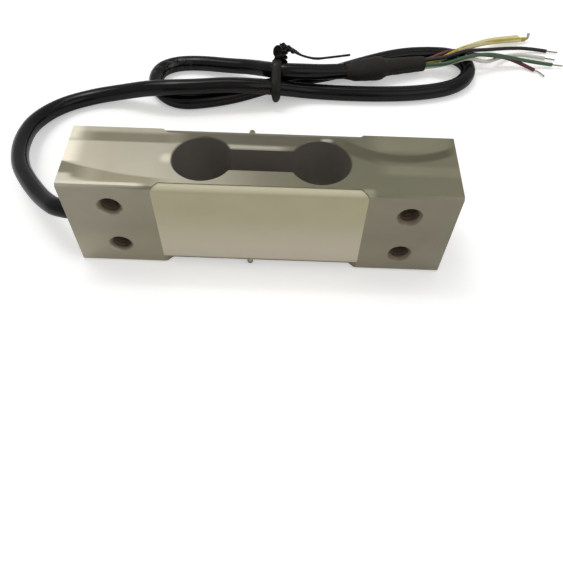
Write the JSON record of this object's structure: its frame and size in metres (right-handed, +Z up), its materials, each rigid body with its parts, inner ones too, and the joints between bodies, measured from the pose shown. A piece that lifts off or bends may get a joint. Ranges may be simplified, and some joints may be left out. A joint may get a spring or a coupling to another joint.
{
  "type": "single point load cell",
  "caption": "Milled aluminium beam with a binocular flexure opening, sealed strain gauges and a folded, tied cable stripped to its leads.",
  "frame": {"origin": "middle of the beam's lowest face, at the surface that it rests on", "axes": "+X along the beam, away from the end that the cable leaves; +Y the direction of the load, towards the coiled-up cable; +Z up, along the flexure bores"},
  "size_m": [0.1879, 0.1147, 0.0305],
  "materials": {
    "machined_aluminium": "milled",
    "seal_silicone": "satin",
    "gauge_film": "satin",
    "gauge_foil": "etched foil",
    "board_laminate": "satin",
    "solder": "satin",
    "resistor_ceramic": "matte",
    "enamelled_wire": "gloss",
    "core_insulation": "satin",
    "potting_resin": "satin",
    "cable_jacket": "semi-gloss PVC",
    "shrink_sleeve": "matte",
    "black_insulation": "satin",
    "green_insulation": "satin",
    "white_insulation": "satin",
    "yellow_insulation": "satin",
    "red_insulation": "satin",
    "tinned_copper": "satin",
    "tie_plastic": "satin",
    "steel_wire": "satin"
  },
  "bodies": {
    "root": {"spring_body": "machined_aluminium", "front_gauge_seal": "seal_silicone", "rear_gauge_seal": "seal_silicone", "gauge_carrier_front_left": "gauge_film", "gauge_grid_front_left": "gauge_foil", "gauge_carrier_front_right": "gauge_film", "gauge_grid_front_right": "gauge_foil", "front_terminal_board": "board_laminate", "front_solder_joints": "solder", "front_gauge_jumpers": "enamelled_wire", "gauge_carrier_rear_left": "gauge_film", "gauge_grid_rear_left": "gauge_foil", "gauge_carrier_rear_right": "gauge_film", "gauge_grid_rear_right": "gauge_foil", "rear_terminal_board": "board_laminate", "rear_solder_joints": "solder", "rear_gauge_jumpers": "enamelled_wire", "zero_balance_resistor": "resistor_ceramic", "span_resistor": "resistor_ceramic", "rear_link_wires": "enamelled_wire", "cable_core_tails": "core_insulation", "cable_potting": "potting_resin", "lead_cable": "cable_jacket", "outer_shrink_sleeve": "shrink_sleeve", "inner_shrink_sleeve": "shrink_sleeve", "black_lead": "black_insulation", "black_tip": "tinned_copper", "green_lead": "green_insulation", "green_tip": "tinned_copper", "white_lead": "white_insulation", "white_tip": "tinned_copper", "shield_lead": "yellow_insulation", "shield_tip": "tinned_copper", "red_lead": "red_insulation", "red_tip": "tinned_copper", "tie_strap": "tie_plastic", "tie_core_wire": "steel_wire"}
  },
  "joints": []
}
